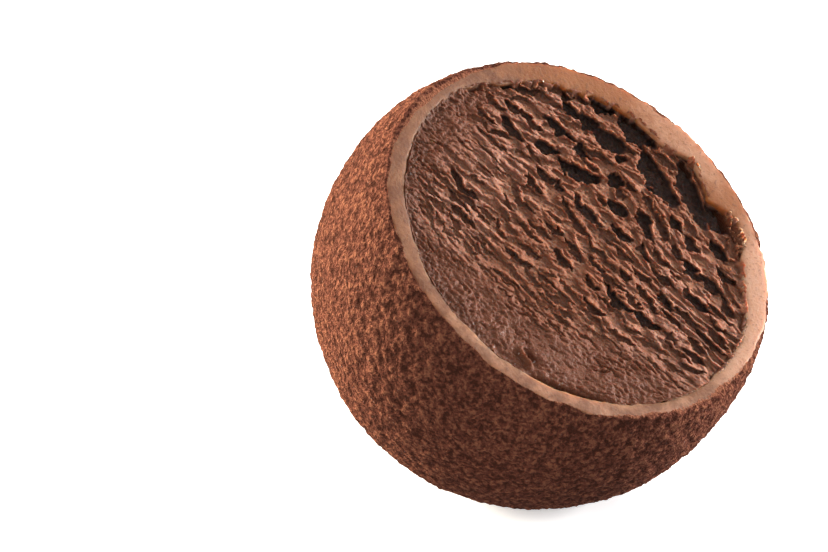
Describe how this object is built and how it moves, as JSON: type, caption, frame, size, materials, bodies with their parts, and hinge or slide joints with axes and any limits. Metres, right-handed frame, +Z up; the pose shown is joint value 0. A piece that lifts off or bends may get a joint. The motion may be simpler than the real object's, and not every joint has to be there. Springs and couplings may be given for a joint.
{
  "type": "chocolate mochi",
  "caption": "Ball of cocoa-dusted mochi dough, sliced open at a slant to show its torn chocolate ice cream filling.",
  "frame": {"origin": "middle of the small flat spot that the ball rests on", "axes": "+Z up as it rests; the cut face leans 48.6 degrees from level, towards -Y (the front) and +X (the right)"},
  "size_m": [0.044, 0.0434, 0.0423],
  "materials": {
    "cocoa_dusted_dough": "soft chewy dough, matt all over with fine cocoa powder, bare and tan on its cut rim",
    "chocolate_ice_cream": "dense frozen chocolate ice cream, torn into overlapping scales, slightly moist"
  },
  "bodies": {
    "root": {"mochi_dough": "cocoa_dusted_dough", "ice_cream": "chocolate_ice_cream"}
  },
  "joints": []
}
